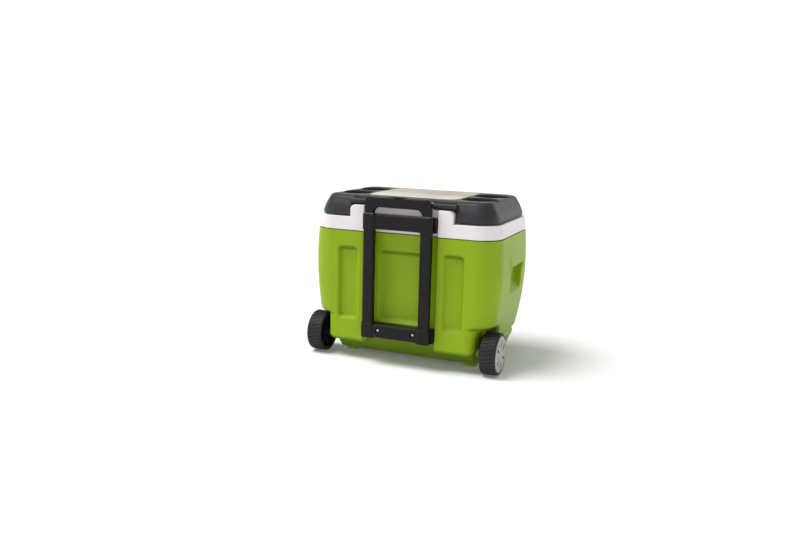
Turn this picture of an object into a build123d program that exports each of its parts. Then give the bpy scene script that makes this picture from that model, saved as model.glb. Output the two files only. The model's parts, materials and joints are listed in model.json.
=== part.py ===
from build123d import *
import os
from math import radians, sqrt, tan

# Hard-sided cooler box on two wheels, with a hinged lid and a two-stage telescopic handle on its back.
# Millimetres, +Z up, floor at z = 0. The handle and the lid hinge are on the +Y side, the lid opens from -Y.
# Everything is drawn about the middle of the box body and moved by CENTRE_Y when it is written out,
# so that the origin is the middle of the whole object's footprint.

# Body: a box with bulging ends
BULGE_X, BULGE_Z, BULGE_R = 253.0, 255.0, 760.0   # widest half-length, its height, radius of the bulge
BODY_Y = 163.0                                    # half-width
CORNER_R = 60.0
BARREL_BOTTOM, BARREL_EDGE = 68.0, 9.0
SEAM_Z, SEAM_GAP = 337.0, 0.6                     # green shell below, white collar above
COLLAR_TOP = 372.0
WALL = 3.0
BASE_Z = 10.0                                     # underside of the plinth
PLINTH_TOP = 62.0
PLINTH_X, PLINTH_Y, PLINTH_R, PLINTH_DRAFT = 228.0, 157.0, 52.0, 22.0
NECK_INSET = 4.0                                  # the neck between plinth and body is this much slimmer

# Lower back of the body: wheel wells, lobes beside the handle, sloping underside
WELL_X, WELL_Y, WELL_Z, WELL_R = 201.0, 57.0, 116.0, 45.0
LOBE_BOTTOM, LOBE_R, LOBE_EDGE = 46.0, 25.0, 12.0
PILLAR_X, PILLAR_Y = 165.0, 127.0                 # the lobe makes the body's lower back corner beyond these
SLOPE_START_Y, SLOPE_END_Z = 88.0, 64.0
KEEL_X = 189.0                                    # half-width of the block between the wheels, below the lobes
CHANNEL_X, CHANNEL_Y = 98.0, 152.0                # half-width and floor of the handle channel
PANEL_DEPTH, PANEL_DRAFT, PANEL_R = 11.0, 38.0, 14.0
FOOT_X, FOOT_SIZE, FOOT_R = 168.0, 34.0, 9.0
REAR_FOOT_Y, FRONT_FOOT_Y = 66.0, -112.0

# Finger pocket in each end
POCKET_Y, POCKET_WIDTH = -20.0, 106.0
POCKET_BOTTOM, POCKET_TOP, POCKET_DEPTH = 188.0, 257.0, 25.0
POCKET_ROOF = 272.0

# Tub
TUB_X, TUB_FRONT, TUB_BACK, TUB_R = 208.0, -140.0, 124.0, 34.0
TUB_FLOOR, TUB_WALL, TUB_DRAFT = 68.5, 2.5, 3.2
FLANGE_TOP = 374.0

# Lid
LID_X, LID_Y, LID_R = 242.0, 160.0, 56.0
LID_BOTTOM, LID_CREASE, LID_TOP = 374.5, 381.0, 425.0
LID_TAPER, LID_TOP_R, LID_CREASE_R = 29.5, 6.0, 4.0
LID_WALL = 3.0
NOTCH_X, NOTCH_Y = 141.0, 131.0
CUP_X, CUP_Y, CUP_R, CUP_DEPTH = 169.0, 52.7, 45.4, 22.0
PLUG_BOTTOM, LINER_PLATE_BOTTOM, LINER_PLATE_TOP = 362.0, 376.0, 379.0
LABEL_X, LABEL_FRONT, LABEL_BACK, LABEL_THICK, LABEL_R = 122.0, -114.0, 101.0, 0.5, 28.0

# Hinge
HINGE_Y, HINGE_Z, BARREL_R, ROD_R = 150.0, 412.5, 8.0, 2.5
ROD_CLEARANCE = 0.06
TOWER_X, TOWER_FRONT, TOWER_TOP, TOWER_R = 138.0, 138.0, 403.5, 13.0
LID_BARRELS = ((-NOTCH_X - 1, -82.0), (-39.5, 39.5), (82.0, NOTCH_X + 1))
COLLAR_KNUCKLES = ((-81.3, -69.0), (-52.0, -40.2), (40.2, 52.0), (69.0, 81.3))
ROD_HALF_LENGTH = 134.0

# Wheels
WHEEL_R, WHEEL_WIDTH, WHEEL_OUT = 53.0, 42.0, 259.4
AXLE_Y, AXLE_R, AXLE_HALF_LENGTH = 117.5, 5.0, 252.0
AXLE_CLEARANCE = 0.06
HUB_R, TYRE_BORE_R, DISC_THICK = 17.0, 45.5, 3.4
HUB_INNER_X, WASHER_THICK = 208.6, 2.0
BOSS_R, BOSS_X = 15.0, 206.0

# Telescopic handle
RAIL_X, RAIL_Y = 75.9, 177.0                      # centre line of both tube sets
RAIL_SIZE, RAIL_WALL = (28.2, 19.2), 1.3
RAIL_BOTTOM, RAIL_TOP = 73.0, 384.0
TUBE_GAP, TUBE_WALL, TUBE_CORNER = 0.3, 1.2, 5.0
MIDDLE_BOTTOM, MIDDLE_TOP = 77.0, 387.5
INNER_BOTTOM, INNER_TOP = 84.0, 388.5
GLIDE_HEIGHT = 8.0
SLEEVE_SIZE, SLEEVE_R = (33.0, 22.0), 6.5
HANDLE_BACK = RAIL_Y + SLEEVE_SIZE[1] / 2
UPPER_BRACKET = (347.0, 386.0)
LOWER_BRACKET = (69.5, 107.0)
CROSS_FACE_Y = 184.0
SCREW_X, SCREW_Z, SCREW_HEAD_R, SCREW_R, SCREW_POCKET_R = 47.5, 90.0, 3.6, 2.1, 5.6

# Grip and its push button
LEG_SIZE = (22.6, 16.0)
GRIP_X = RAIL_X + LEG_SIZE[0] / 2
GRIP_TOP, GRIP_WINDOW_TOP, GRIP_DEPTH = 430.0, 403.5, 20.4
GRIP_CORNER, WINDOW_CORNER = 13.0, 15.0
SCOOP_R, SCOOP_DIP = 40.0, 5.5                    # thumb scoop in the grip's back edge, behind the button
BUTTON_SIZE, BUTTON_GAP = (43.0, 12.6), 0.4
BUTTON_BOTTOM, YOKE_BOTTOM, CAVITY_FLOOR = 418.0, 415.0, 406.0
CAVITY_X, CAVITY_DEPTH, CAVITY_TOP = 83.0, 13.6, 423.5
PUSH_ROD_R, PUSH_ROD_BOTTOM = 2.0, 100.0
SPRING_X, SPRING_R, SPRING_WIRE_R, SPRING_TURNS = 40.0, 3.2, 0.4, 4.0

FRONT_Y = -BODY_Y
CENTRE_Y = (HANDLE_BACK + FRONT_Y) / 2
SIDES = {"left": 1, "right": -1}                  # left is +X, as seen from behind the handle


def block(x, y, z):
    """A box between two corners, each range given as (low, high)."""
    size = [b - a for a, b in (x, y, z)]
    middle = [(a + b) / 2 for a, b in (x, y, z)]
    return Pos(*middle) * Box(*size)


def both_sides(solid):
    return solid + mirror(solid, about=Plane.YZ)


def rounded_prism(x, y, z, radius, taper=0.0):
    """A block with rounded vertical edges that narrows upwards by taper degrees."""
    sketch = RectangleRounded(x[1] - x[0], y[1] - y[0], radius)
    place = Pos((x[0] + x[1]) / 2, (y[0] + y[1]) / 2, z[0])
    return place * extrude(sketch, z[1] - z[0], taper=taper)


def prism_along_x(points, x):
    """A polygon of (y, z) points drawn out between two x values."""
    face = make_face(Polyline(*[(x[0], y, z) for y, z in points], close=True))
    return extrude(face, x[1] - x[0], dir=(1, 0, 0))


def cylinder_x(x, y, z, radius):
    return Pos((x[0] + x[1]) / 2, y, z) * Rot(0, 90, 0) * Cylinder(radius, x[1] - x[0])


def edges_at_z(solid, z):
    return solid.edges().filter_by_position(Axis.Z, z - 0.01, z + 0.01)


# ---------------------------------------------------------------- body

def end_x(z, inset=0.0):
    """Half-length of the bulging body at a height."""
    return BULGE_X - BULGE_R + sqrt((BULGE_R - inset) ** 2 - (z - BULGE_Z) ** 2)


def barrel(inset, bottom, top):
    """The body's bulging block, with its surface moved inwards by inset."""
    middle = (bottom + top) / 2
    ends = [(end_x(z, inset), z) for z in (bottom, middle, top)]
    right = ThreePointArc(*ends)
    left = ThreePointArc(*[(-x, z) for x, z in reversed(ends)])
    outline = make_face([right, Line(ends[2], left @ 0), left, Line(left @ 1, ends[0])])
    solid = extrude(Plane.XZ * outline, BODY_Y - inset, both=True)
    corners = solid.edges().filter_by(GeomType.CIRCLE)
    return fillet(corners, CORNER_R - inset)


def slope_y(z, inset=0.0):
    """Where the sloping rear underside stands at a height."""
    run = (CHANNEL_Y - SLOPE_START_Y) / (SLOPE_END_Z - BASE_Z)
    return SLOPE_START_Y + (z - BASE_Z) * run - inset * 1.5


def lobe(inset):
    """The rounded foot of the +X pillar beside the handle, inboard of the wheel."""
    solid = block((CHANNEL_X + inset, WELL_X - inset), (slope_y(LOBE_BOTTOM) - 12, BODY_Y - inset),
                  (LOBE_BOTTOM + inset, WELL_Z + 14))
    rear_uprights = solid.edges().filter_by(Axis.Z).group_by(Axis.Y)[-1]
    solid = fillet(rear_uprights.sort_by(Axis.X)[-1], LOBE_R - inset)
    if inset == 0:
        seen = [e for e in edges_at_z(solid, LOBE_BOTTOM) if e.center().Y > slope_y(LOBE_BOTTOM) - 10]
        solid = fillet(seen, LOBE_EDGE)
    return solid


def lower_body(inset):
    """Plinth, and the narrower block between the wheel wells with its sloping underside and two lobes."""
    base, side = BASE_Z + inset, WELL_X - inset
    shrink = (PLINTH_TOP - BASE_Z) * tan(radians(PLINTH_DRAFT)) + inset
    plinth = rounded_prism((-PLINTH_X + shrink, PLINTH_X - shrink), (-PLINTH_Y + shrink, PLINTH_Y - shrink),
                           (base, PLINTH_TOP), PLINTH_R - shrink, -PLINTH_DRAFT)
    neck_x, neck_y = PLINTH_X - NECK_INSET - inset, PLINTH_Y - inset
    neck = rounded_prism((-neck_x, neck_x), (-neck_y, neck_y), (base + 30, 90), PLINTH_R)
    front = (plinth + neck) & block((-300, 300), (-300, WELL_Y), (0, 90))
    top = WELL_Z + 14
    wedge = prism_along_x([(0, base), (slope_y(base, inset), base),
                           (CHANNEL_Y - inset, SLOPE_END_Z + inset), (CHANNEL_Y - inset, top), (0, top)],
                          (-side, side))
    wedge -= pillar_corners(inset)
    wedge -= both_sides(block((KEEL_X - inset, 300), (WELL_Y - inset, 300), (-20, LOBE_BOTTOM + inset)))
    return front + wedge + both_sides(lobe(inset))


def pillar_corners(inset):
    """The square corners of the body above the lobes, which the lobes replace with round ones."""
    return both_sides(block((PILLAR_X, 300), (PILLAR_Y, 300), (-20, WELL_Z + inset)))


def wheel_wells(inset):
    well = block((WELL_X - inset, 300), (WELL_Y - inset, 300), (-20, WELL_Z + inset))
    arch = [e for e in well.edges().filter_by(Axis.X)
            if e.center().Y < WELL_Y + 1 and e.center().Z > WELL_Z - 1]
    return both_sides(fillet(arch, WELL_R)) + pillar_corners(inset)


def panel(x, z, face_y, side, depth=PANEL_DEPTH):
    """A drafted recess cut into the back (side 1) or front (side -1) face of the body."""
    sketch = RectangleRounded(x[1] - x[0], z[1] - z[0], PANEL_R)
    middle = ((x[0] + x[1]) / 2, side * face_y, (z[0] + z[1]) / 2)
    plane = Plane(origin=middle, x_dir=(1, 0, 0), z_dir=(0, -side, 0))
    cut = extrude(plane * sketch, depth, taper=PANEL_DRAFT)
    return cut + extrude(plane * sketch, -20)


PANELS = (((114, 171), (106, 296), BODY_Y, 1), ((-171, -114), (106, 296), BODY_Y, 1),
          ((-60, 60), (108, 292), CHANNEL_Y, 1),
          ((114, 171), (106, 296), BODY_Y, -1), ((-171, -114), (106, 296), BODY_Y, -1),
          ((-92, 92), (106, 296), BODY_Y, -1))


def pocket_cut():
    """The finger pocket in the +X end: a slot under a lip, with a floor that slopes out to the surface."""
    face, back = end_x(POCKET_BOTTOM) + 6, BULGE_X - POCKET_DEPTH
    profile = [(end_x(POCKET_BOTTOM), POCKET_BOTTOM), (back + 8, POCKET_BOTTOM + 14), (back, POCKET_BOTTOM + 34),
               (back, POCKET_ROOF), (back + 12, POCKET_ROOF), (back + 15, POCKET_TOP), (face, POCKET_TOP),
               (face, POCKET_BOTTOM)]
    points = [(x, POCKET_Y, z) for x, z in profile]
    return extrude(make_face(Polyline(*points, close=True)), POCKET_WIDTH / 2, dir=(0, 1, 0), both=True)


def pocket_room():
    """The space that the pocket and its walls need inside the body."""
    return block((BULGE_X - POCKET_DEPTH - WALL, 300),
                 (POCKET_Y - POCKET_WIDTH / 2 - WALL, POCKET_Y + POCKET_WIDTH / 2 + WALL),
                 (POCKET_BOTTOM - 2 * WALL, POCKET_ROOF + WALL))


def outer_form(top):
    """The whole outside of the body up to a height, with every recess cut."""
    solid = barrel(0, BARREL_BOTTOM, top)
    solid = fillet(edges_at_z(solid, BARREL_BOTTOM), BARREL_EDGE)
    solid -= wheel_wells(0)
    solid += lower_body(0)
    solid -= block((-CHANNEL_X, CHANNEL_X), (CHANNEL_Y, 300), (0, 500))
    for x, z, face_y, side in PANELS:
        solid -= panel(x, z, face_y, side)
    return solid - both_sides(pocket_cut())


def cavity_form():
    """The closed space inside the walls of the body and collar."""
    solid = barrel(WALL, BARREL_BOTTOM + WALL, COLLAR_TOP - WALL)
    solid -= wheel_wells(WALL)
    solid += lower_body(WALL)
    solid -= block((-CHANNEL_X - WALL, CHANNEL_X + WALL), (CHANNEL_Y - WALL, 300), (0, 500))
    for x, z, face_y, side in PANELS:
        low, high = sorted((side * (face_y - PANEL_DEPTH - WALL), side * 300))
        solid -= block((x[0] - 1, x[1] + 1), (low, high), (z[0] - 1, z[1] + 1))
    return solid - both_sides(pocket_room())


def between(low, high, bottom, top):
    """A form that runs from one rounded rectangle to another. Each is (half-length, front, back, radius)."""
    faces = [Pos(0, (front + back) / 2, z) * RectangleRounded(2 * half, back - front, radius)
             for (half, front, back, radius), z in ((low, bottom), (high, top))]
    return loft(faces)


def tub(grow, floor):
    """The tub's hollow, or its outside when grow is the wall thickness. It narrows downwards."""
    shrink = (FLANGE_TOP - TUB_FLOOR) * tan(radians(TUB_DRAFT))
    low = (TUB_X + grow - shrink, TUB_FRONT - grow + shrink / 3, TUB_BACK + grow - shrink / 3, TUB_R + grow - 6)
    high = (TUB_X + grow, TUB_FRONT - grow, TUB_BACK + grow, TUB_R + grow)
    return between(low, high, floor, FLANGE_TOP)


def make_outer_shell(cavity):
    shell = outer_form(SEAM_Z) - cavity
    for y in (REAR_FOOT_Y, FRONT_FOOT_Y):
        half = FOOT_SIZE / 2
        foot = rounded_prism((FOOT_X - half, FOOT_X + half), (y - half, y + half), (0, BASE_Z + 1), FOOT_R)
        shell += both_sides(fillet(edges_at_z(foot, 0), 3))
    boss = cylinder_x((WELL_X - 1, BOSS_X), AXLE_Y, WHEEL_R, BOSS_R)
    shell += both_sides(boss)
    shell -= cylinder_x((-BOSS_X - 1, BOSS_X + 1), AXLE_Y, WHEEL_R, AXLE_R)
    for x in (-SCREW_X, SCREW_X):
        shell -= screw_bore(x)
    return shell


def screw_bore(x):
    return Pos(x, CHANNEL_Y, SCREW_Z) * Rot(90, 0, 0) * Cylinder(SCREW_R, 40)


def tower():
    """The raised back edge of the collar that carries the lid hinge."""
    solid = block((-TOWER_X, TOWER_X), (TOWER_FRONT, BODY_Y), (COLLAR_TOP - 1, TOWER_TOP))
    top_corners = [e for e in solid.edges().filter_by(Axis.Y) if e.center().Z > TOWER_TOP - 1]
    solid = fillet(top_corners, TOWER_R)
    solid -= block((-CHANNEL_X, CHANNEL_X), (CHANNEL_Y, 300), (0, 500))
    for x in COLLAR_KNUCKLES:
        solid += block(x, (HINGE_Y - BARREL_R + 0.5, CHANNEL_Y), (TOWER_TOP - 2, HINGE_Z - 2))
        solid += cylinder_x(x, HINGE_Y, HINGE_Z, BARREL_R)
    hollow = block((-TOWER_X + WALL, TOWER_X - WALL), (TOWER_FRONT + WALL, BODY_Y - WALL),
                   (COLLAR_TOP - WALL - 1, TOWER_TOP - TOWER_R))
    hollow -= block((-CHANNEL_X - WALL, CHANNEL_X + WALL), (CHANNEL_Y - WALL, 300), (0, 500))
    return solid, hollow


def make_collar(cavity):
    ring = barrel(0, SEAM_Z - 20, COLLAR_TOP) & block((-300, 300), (-300, 300), (SEAM_Z + SEAM_GAP, 500))
    ring -= block((-CHANNEL_X, CHANNEL_X), (CHANNEL_Y, 300), (0, 500))
    raised, hollow = tower()
    ring += raised
    ring -= cavity
    ring -= hollow
    ring -= tub(TUB_WALL, TUB_FLOOR - TUB_WALL)
    return ring - cylinder_x((-ROD_HALF_LENGTH, ROD_HALF_LENGTH), HINGE_Y, HINGE_Z, ROD_R)


def make_inner_liner():
    flange = rounded_prism((-TUB_X - 14, TUB_X + 14), (TUB_FRONT - 12, TUB_BACK + 12), (COLLAR_TOP, FLANGE_TOP),
                           TUB_R + 12)
    return tub(TUB_WALL, TUB_FLOOR - TUB_WALL) + flange - tub(0, TUB_FLOOR)


def make_body_foam(cavity):
    foam = cavity - tub(TUB_WALL, TUB_FLOOR - TUB_WALL)
    foam -= cylinder_x((-300, 300), AXLE_Y, WHEEL_R, AXLE_R)
    for x in (-SCREW_X, SCREW_X):
        foam -= screw_bore(x)
    return foam


# ---------------------------------------------------------------- lid

def lid_form(inset, bottom, top):
    """The lid's outside moved inwards by inset: a short upright lip, then sides that lean in."""
    x, y, r = LID_X - inset, LID_Y - inset, LID_R - inset
    lip = rounded_prism((-x, x), (-y, y), (bottom, LID_CREASE), r)
    crown = rounded_prism((-x, x), (-y, y), (LID_CREASE, top), r, LID_TAPER)
    notch = block((-NOTCH_X - inset, NOTCH_X + inset), (NOTCH_Y - inset, 300), (300, 500))
    return lip, crown, notch


def cups(grow, floor):
    bore = Pos(CUP_X, CUP_Y, (floor + LID_TOP + 5) / 2) * Cylinder(CUP_R + grow, LID_TOP + 5 - floor)
    if grow == 0:
        bore = fillet(edges_at_z(bore, floor), 5)
    bore = bore + mirror(bore, about=Plane.XZ)
    return both_sides(bore)


def lid_cavity(bottom, top):
    lip, crown, notch = lid_form(LID_WALL, LID_BOTTOM - 1, LID_TOP - LID_WALL)
    hollow = lip + crown - notch
    hollow -= cups(LID_WALL, LID_TOP - CUP_DEPTH - LID_WALL)
    return hollow & block((-300, 300), (-300, 300), (bottom, top))


def make_lid_shell():
    lip, crown, notch = lid_form(0, LID_BOTTOM, LID_TOP)
    crown = fillet(edges_at_z(crown, LID_TOP), LID_TOP_R)
    shell = lip + crown
    shell = fillet(edges_at_z(shell, LID_CREASE), LID_CREASE_R)
    uprights = [e for e in notch.edges().filter_by(Axis.Z) if e.center().Y < NOTCH_Y + 1]
    shell -= fillet(uprights, 6)
    shell -= cups(0, LID_TOP - CUP_DEPTH)
    shell -= lid_cavity(LID_BOTTOM - 1, LID_TOP)
    for x in LID_BARRELS:
        web_x = (max(x[0], -NOTCH_X + 0.5), min(x[1], NOTCH_X - 0.5))
        shell += block(web_x, (NOTCH_Y - 1, HINGE_Y), (HINGE_Z - 4.5, HINGE_Z + 4.5))
        shell += cylinder_x(x, HINGE_Y, HINGE_Z, BARREL_R)
    reach = ROD_HALF_LENGTH + 0.5
    return shell - cylinder_x((-reach, reach), HINGE_Y, HINGE_Z, ROD_R + ROD_CLEARANCE)


def plug(inset):
    """The block that drops into the top of the tub, moved inwards by inset."""
    top, low = [(TUB_X - gap - inset, TUB_FRONT + gap + inset, TUB_BACK - gap - inset, TUB_R - gap - inset)
                for gap in (4, 8)]
    return between(low, top, PLUG_BOTTOM + inset, LINER_PLATE_BOTTOM + 1 if inset == 0 else LINER_PLATE_TOP)


def make_lid_liner():
    """The lid's white underside: a sheet inside the lid's lip that dips to form the plug."""
    outside = plug(0)
    outside = fillet(edges_at_z(outside, PLUG_BOTTOM), 3)
    return lid_cavity(LINER_PLATE_BOTTOM, LINER_PLATE_TOP) + outside - plug(TUB_WALL)


def make_lid_foam():
    return lid_cavity(LINER_PLATE_TOP, LID_TOP) + plug(TUB_WALL)


def make_lid_label():
    return rounded_prism((-LABEL_X, LABEL_X), (LABEL_FRONT, LABEL_BACK), (LID_TOP, LID_TOP + LABEL_THICK), LABEL_R)


# ---------------------------------------------------------------- wheels

def make_tyre():
    """Solid tyre of the +X wheel."""
    inner = WHEEL_OUT - WHEEL_WIDTH
    tyre = cylinder_x((inner, WHEEL_OUT - 1), AXLE_Y, WHEEL_R, WHEEL_R)
    rims = tyre.edges().filter_by(GeomType.CIRCLE)
    return fillet(rims, 5) - cylinder_x((inner - 1, WHEEL_OUT + 1), AXLE_Y, WHEEL_R, TYRE_BORE_R)


def make_wheel_core():
    """Hub, web and eight ribs inside the tyre."""
    inner, outer = WHEEL_OUT - WHEEL_WIDTH + 2, WHEEL_OUT - DISC_THICK - 2
    rim = cylinder_x((inner, outer), AXLE_Y, WHEEL_R, TYRE_BORE_R)
    rim -= cylinder_x((inner - 1, outer - 4), AXLE_Y, WHEEL_R, TYRE_BORE_R - 3)
    for step in range(8):
        spoke = block((inner + 3, outer - 2), (-1.6, 1.6), (HUB_R - 2, TYRE_BORE_R - 1))
        rim += Pos(0, AXLE_Y, WHEEL_R) * Rot(step * 45, 0, 0) * spoke
    rim += cylinder_x((HUB_INNER_X, outer), AXLE_Y, WHEEL_R, HUB_R)
    rim -= cylinder_x((AXLE_HALF_LENGTH - 4.5, outer + 1), AXLE_Y, WHEEL_R, AXLE_R + 5)
    return rim - cylinder_x((200, 300), AXLE_Y, WHEEL_R, AXLE_R + AXLE_CLEARANCE)


def make_hub_disc():
    """Domed cover disc on the outside of the wheel, with round holes and slots by turns."""
    outer = WHEEL_OUT
    disc = cylinder_x((outer - DISC_THICK - 2, outer), AXLE_Y, WHEEL_R, TYRE_BORE_R)
    rim = [e for e in disc.edges().filter_by(GeomType.CIRCLE) if e.center().X > outer - 0.5]
    disc = fillet(rim, 2.5)
    disc -= cylinder_x((outer - DISC_THICK - 3, outer - DISC_THICK), AXLE_Y, WHEEL_R, TYRE_BORE_R - 3)
    hole = Pos(outer, 0, 30) * Rot(0, 90, 0) * Cylinder(3.0, 20)
    slot_face = Plane(origin=(outer - 10, 0, 28), x_dir=(0, 0, 1), z_dir=(1, 0, 0)) * SlotOverall(20, 6.5)
    slot = extrude(slot_face, 20)
    for step in range(12):
        cut = hole if step % 2 else slot
        disc -= Pos(0, AXLE_Y, WHEEL_R) * Rot(step * 30, 0, 0) * cut
    return disc


def make_axle_washers():
    washer = cylinder_x((BOSS_X, BOSS_X + WASHER_THICK), AXLE_Y, WHEEL_R, 11)
    return both_sides(washer - cylinder_x((200, 300), AXLE_Y, WHEEL_R, AXLE_R))


def make_axle_caps():
    """Push-on caps that keep the wheels on the axle."""
    cap = cylinder_x((AXLE_HALF_LENGTH - 4, AXLE_HALF_LENGTH - 0.6), AXLE_Y, WHEEL_R, 9)
    return both_sides(cap - cylinder_x((200, 300), AXLE_Y, WHEEL_R, AXLE_R))


def make_axle():
    return cylinder_x((-AXLE_HALF_LENGTH, AXLE_HALF_LENGTH), AXLE_Y, WHEEL_R, AXLE_R)


# ---------------------------------------------------------------- telescopic handle

def bar(size, z, radius, grow=0.0):
    """An upright bar of rounded oblong section on the +X tube line."""
    half_x, half_y = size[0] / 2 + grow, size[1] / 2 + grow
    return rounded_prism((RAIL_X - half_x, RAIL_X + half_x), (RAIL_Y - half_y, RAIL_Y + half_y), z, radius + grow)


def tube(size, z, wall, radius):
    return bar(size, z, radius) - bar(size, (z[0] - 1, z[1] + 1), radius, -wall)


def smaller(size, by):
    return (size[0] - 2 * by, size[1] - 2 * by)


MIDDLE_SIZE = smaller(RAIL_SIZE, RAIL_WALL + TUBE_GAP)
MIDDLE_CORNER = TUBE_CORNER - RAIL_WALL
INNER_SIZE = smaller(MIDDLE_SIZE, TUBE_WALL + TUBE_GAP)
INNER_CORNER = MIDDLE_CORNER - TUBE_WALL
CORE_SIZE = smaller(INNER_SIZE, TUBE_WALL)
CORE_CORNER = INNER_CORNER - TUBE_WALL + 0.6


def make_rail():
    return tube(RAIL_SIZE, (RAIL_BOTTOM, RAIL_TOP), RAIL_WALL, TUBE_CORNER)


def make_middle_tube():
    return tube(MIDDLE_SIZE, (MIDDLE_BOTTOM, MIDDLE_TOP), TUBE_WALL, MIDDLE_CORNER)


def make_inner_tube():
    return tube(INNER_SIZE, (INNER_BOTTOM, INNER_TOP), TUBE_WALL, INNER_CORNER)


def make_glide(size, bottom, radius):
    """Plastic foot that closes a tube's lower end and guides it."""
    plug = bar(size, (bottom, bottom + GLIDE_HEIGHT), radius)
    return plug - Pos(RAIL_X, RAIL_Y, bottom) * Cylinder(PUSH_ROD_R + 0.4, 4 * GLIDE_HEIGHT)


def bracket(z, open_top):
    """A cross-member with a sleeve round each rail and a flange into the channel on each side."""
    solid = bar(SLEEVE_SIZE, z, SLEEVE_R)
    solid = fillet(edges_at_z(solid, z[0]) + edges_at_z(solid, z[1]), 1.5)
    solid += block((RAIL_X, CHANNEL_X - 0.5), (CHANNEL_Y, RAIL_Y - 6), (z[0] + 1, z[1] - 1))
    cross = block((-1, RAIL_X), (CHANNEL_Y, CROSS_FACE_Y), (z[0] + 1.5, z[1] - 1.5))
    faces = [e for e in cross.edges().filter_by(Axis.X) if e.center().Y > CROSS_FACE_Y - 1]
    solid += fillet(faces, 4)
    solid -= bar(RAIL_SIZE, (RAIL_BOTTOM, RAIL_TOP), TUBE_CORNER, 0.05)
    if open_top:
        solid -= bar(MIDDLE_SIZE, (RAIL_TOP - 1, z[1] + 1), MIDDLE_CORNER, TUBE_GAP)
    return both_sides(solid)


def make_upper_bracket():
    return bracket(UPPER_BRACKET, True)


def make_lower_bracket():
    solid = bracket(LOWER_BRACKET, False)
    for x in (-SCREW_X, SCREW_X):
        bore = Pos(x, CROSS_FACE_Y, SCREW_Z) * Rot(90, 0, 0)
        solid -= bore * Cylinder(SCREW_POCKET_R, 12)
        solid -= bore * Cylinder(SCREW_R, 100)
    return solid


def make_bracket_screws():
    """Two cross-recessed screws that hold the lower bracket to the body."""
    head_y = CROSS_FACE_Y - 6
    head = Pos(0, head_y + 1.5, 0) * Rot(90, 0, 0) * Cylinder(SCREW_HEAD_R, 3)
    head = fillet([e for e in head.edges().filter_by(GeomType.CIRCLE) if e.center().Y > head_y + 2], 1.2)
    recess = Pos(0, head_y + 3, 0) * (Box(4.2, 2.4, 1) + Box(1, 2.4, 4.2))
    shank_end = CHANNEL_Y - 16
    shank = Pos(0, (head_y + shank_end) / 2, 0) * Rot(90, 0, 0) * Cylinder(SCREW_R, head_y - shank_end)
    screw = Pos(SCREW_X, 0, SCREW_Z) * (head - recess + shank)
    return both_sides(screw)


def make_grip():
    """The inverted-U grip: a hollow bar with a leg over each inner tube and a well for the button."""
    leg_y = (RAIL_Y - GRIP_DEPTH / 2, RAIL_Y + GRIP_DEPTH / 2)
    solid = block((-GRIP_X, GRIP_X), leg_y, (INNER_TOP, GRIP_TOP))
    corners = [e for e in solid.edges().filter_by(Axis.Y) if e.center().Z > GRIP_TOP - 1]
    solid = fillet(corners, GRIP_CORNER)
    window_x = GRIP_X - LEG_SIZE[0]
    window = block((-window_x, window_x), (100, 300), (INNER_TOP - 5, GRIP_WINDOW_TOP))
    arch = [e for e in window.edges().filter_by(Axis.Y) if e.center().Z > GRIP_WINDOW_TOP - 1]
    solid -= fillet(arch, WINDOW_CORNER)
    solid = fillet([e for e in solid.edges() if abs(abs(e.center().Y - RAIL_Y) - GRIP_DEPTH / 2) < 0.01
                    and e.center().Z > INNER_TOP + 1], 4)
    solid += both_sides(bar(CORE_SIZE, (INNER_TOP - 20, INNER_TOP + 2), CORE_CORNER))
    half = CAVITY_DEPTH / 2
    solid -= block((-CAVITY_X, CAVITY_X), (RAIL_Y - half, RAIL_Y + half), (CAVITY_FLOOR, CAVITY_TOP)) - both_sides(
        block((SPRING_X + 12, 100), (0, 300), (CAVITY_TOP - 4, CAVITY_TOP)))
    solid -= both_sides(Pos(RAIL_X, RAIL_Y, INNER_TOP) * Cylinder(PUSH_ROD_R + 0.4, 60))
    well = smaller(BUTTON_SIZE, -BUTTON_GAP)
    solid -= rounded_prism((-well[0] / 2, well[0] / 2), (RAIL_Y - well[1] / 2, RAIL_Y + well[1] / 2),
                           (CAVITY_TOP - 5, 500), 3 + BUTTON_GAP)
    scoop = Rot(90, 0, 0) * Cylinder(SCOOP_R, GRIP_DEPTH / 2 - 4)
    return solid - Pos(0, RAIL_Y + GRIP_DEPTH / 4 + 2, GRIP_TOP - SCOOP_DIP + SCOOP_R) * scoop


def make_release_button():
    """Thumb button with a hollowed top."""
    x, y = BUTTON_SIZE[0] / 2, BUTTON_SIZE[1] / 2
    solid = rounded_prism((-x, x), (RAIL_Y - y, RAIL_Y + y), (BUTTON_BOTTOM, GRIP_TOP - 0.6), 3)
    dip, radius = 3.6, 64.0
    scoop = Pos(0, RAIL_Y, GRIP_TOP - 0.6 - dip + radius) * Rot(90, 0, 0) * Cylinder(radius, 60)
    return solid - scoop


def make_release_yoke():
    """Crossbar that carries the button's push to both rods."""
    return block((-RAIL_X - 5, RAIL_X + 5), (RAIL_Y - 4, RAIL_Y + 4), (YOKE_BOTTOM, BUTTON_BOTTOM))


def make_push_rods():
    length = YOKE_BOTTOM - PUSH_ROD_BOTTOM
    return both_sides(Pos(RAIL_X, RAIL_Y, PUSH_ROD_BOTTOM + length / 2) * Cylinder(PUSH_ROD_R, length))


def make_release_springs():
    """Two coil springs under the crossbar."""
    height = YOKE_BOTTOM - CAVITY_FLOOR - 2 * SPRING_WIRE_R - 0.2
    path = Helix(pitch=height / SPRING_TURNS, height=height, radius=SPRING_R)
    section = Plane(origin=path @ 0, z_dir=path % 0) * Circle(SPRING_WIRE_R)
    coil = sweep(section, path=path, is_frenet=True)
    return both_sides(Pos(SPRING_X, RAIL_Y, CAVITY_FLOOR + SPRING_WIRE_R + 0.1) * coil)


# ---------------------------------------------------------------- all nodes

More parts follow.
